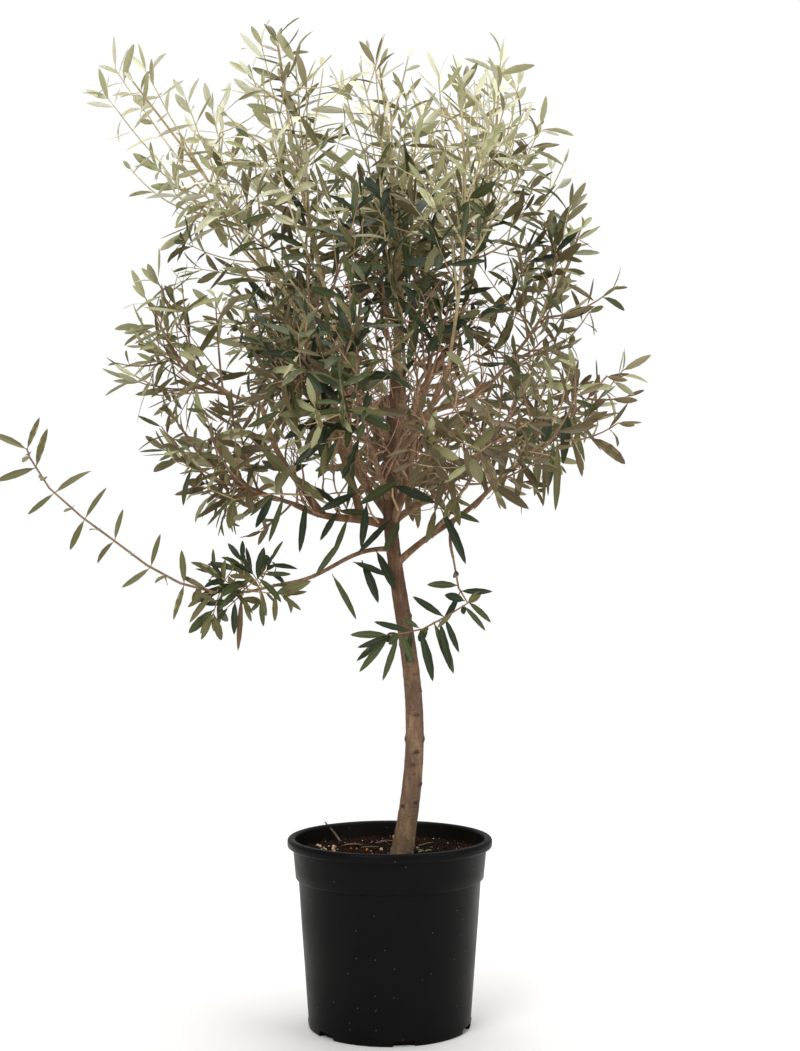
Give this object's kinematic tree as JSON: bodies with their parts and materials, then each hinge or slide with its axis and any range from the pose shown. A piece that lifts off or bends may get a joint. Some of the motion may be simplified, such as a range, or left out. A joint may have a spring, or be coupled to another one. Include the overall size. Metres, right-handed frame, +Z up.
{
  "type": "potted olive tree",
  "caption": "Young olive tree with one clear stem, branching boughs and an airy rounded crown, standing in a round nursery pot filled with potting mix.",
  "frame": {"origin": "middle of the pot's flat underside", "axes": "+Z up along the pot's axis, +X to the right and -Y towards the viewer when the long low twig hangs to the left"},
  "size_m": [0.9109, 0.6158, 1.4046],
  "materials": {
    "pot": "moulded, satin black",
    "potting_mix": "loose and matte",
    "bark": "smooth young bark with scars",
    "foliage": "leathery leaves, dark above and paler below"
  },
  "bodies": {
    "root": {"pot": "pot", "potting_mix": "potting_mix", "trunk": "bark", "left_bough": "bark", "right_leader_bough": "bark", "inner_right_bough": "bark", "low_right_bough": "bark", "rear_right_bough": "bark", "side_right_bough": "bark", "low_left_bough": "bark", "mid_left_bough": "bark", "upper_left_bough": "bark", "rear_left_bough": "bark", "rear_bough": "bark", "low_rear_bough": "bark", "front_left_bough": "bark", "front_bough": "bark", "front_right_bough": "bark", "low_front_bough": "bark", "hanging_bough": "bark", "crown_centre_foliage": "foliage", "right_leader_foliage": "foliage", "inner_right_foliage": "foliage", "low_right_foliage": "foliage", "rear_right_foliage": "foliage", "side_right_foliage": "foliage", "low_left_foliage": "foliage", "mid_left_foliage": "foliage", "upper_left_foliage": "foliage", "rear_left_foliage": "foliage", "rear_foliage": "foliage", "low_rear_foliage": "foliage", "front_left_foliage": "foliage", "front_foliage": "foliage", "front_right_foliage": "foliage", "low_front_foliage": "foliage", "low_left_spray": "foliage", "hanging_spray": "foliage"}
  },
  "joints": []
}
